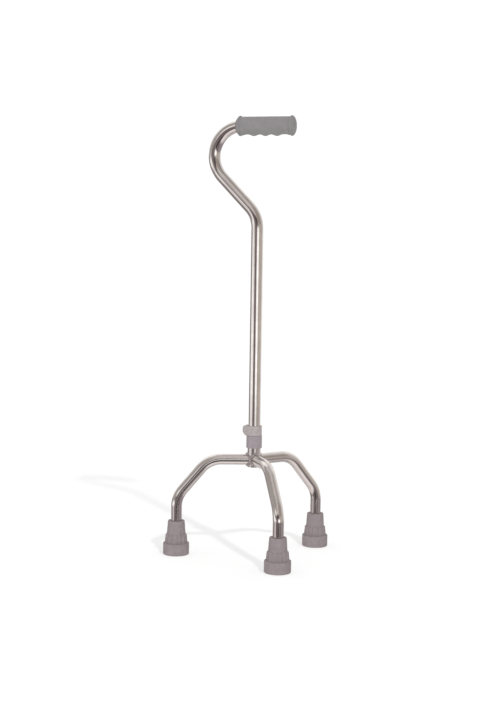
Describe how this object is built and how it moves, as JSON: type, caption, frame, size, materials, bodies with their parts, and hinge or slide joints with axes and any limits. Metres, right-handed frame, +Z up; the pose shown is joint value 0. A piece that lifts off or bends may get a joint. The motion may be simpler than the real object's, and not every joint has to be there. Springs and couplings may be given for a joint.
{
  "type": "walking cane",
  "caption": "Height-adjustable swan-neck walking cane: chromed shaft with moulded grip, lock collar with release cap, and a welded tripod base on rubber ferrules.",
  "frame": {"origin": "point on the floor under the shaft's axis", "axes": "+Z up along the shaft, +X forward, the way the hand grip points, +Y to the left"},
  "size_m": [0.2655, 0.2722, 0.8027],
  "materials": {
    "chromed_tube": "polished chrome plate on steel tube",
    "weld_metal": "rippled weld bead under chrome plate",
    "plain_steel": "plain machined steel",
    "grip_vinyl": "satin moulded vinyl",
    "collar_plastic": "matte moulded nylon",
    "sleeve_plastic": "satin moulded plastic",
    "plug_nylon": "black nylon",
    "ferrule_rubber": "matte moulded rubber"
  },
  "bodies": {
    "base": {"socket_tube": "chromed_tube", "socket_sleeve": "sleeve_plastic", "lock_collar": "collar_plastic", "pin_spring": "plain_steel", "leg_right": "chromed_tube", "leg_left": "chromed_tube", "leg_rear": "chromed_tube", "weld_right": "weld_metal", "weld_left": "weld_metal", "weld_rear": "weld_metal", "ferrule_right": "ferrule_rubber", "ferrule_left": "ferrule_rubber", "ferrule_rear": "ferrule_rubber", "ferrule_washer_right": "plain_steel", "ferrule_washer_left": "plain_steel", "ferrule_washer_rear": "plain_steel"},
    "upper": {"swan_neck_shaft": "chromed_tube", "hand_grip": "grip_vinyl", "shaft_end_plug": "plug_nylon"},
    "lock": {"lock_pin": "plain_steel", "release_cap": "collar_plastic"}
  },
  "joints": [
    {"name": "height_slide", "type": "slide", "parent": "base", "child": "upper", "axis": [0, 0, 1], "range_m": [-0.127, 0.0254]},
    {"name": "lock_pull", "type": "slide", "parent": "base", "child": "lock", "axis": [-1, 0, 0], "range_m": [0, 0.002], "stiffness_N_per_m": 1500, "springref_m": -0.001, "deforming": ["pin_spring"]}
  ]
}
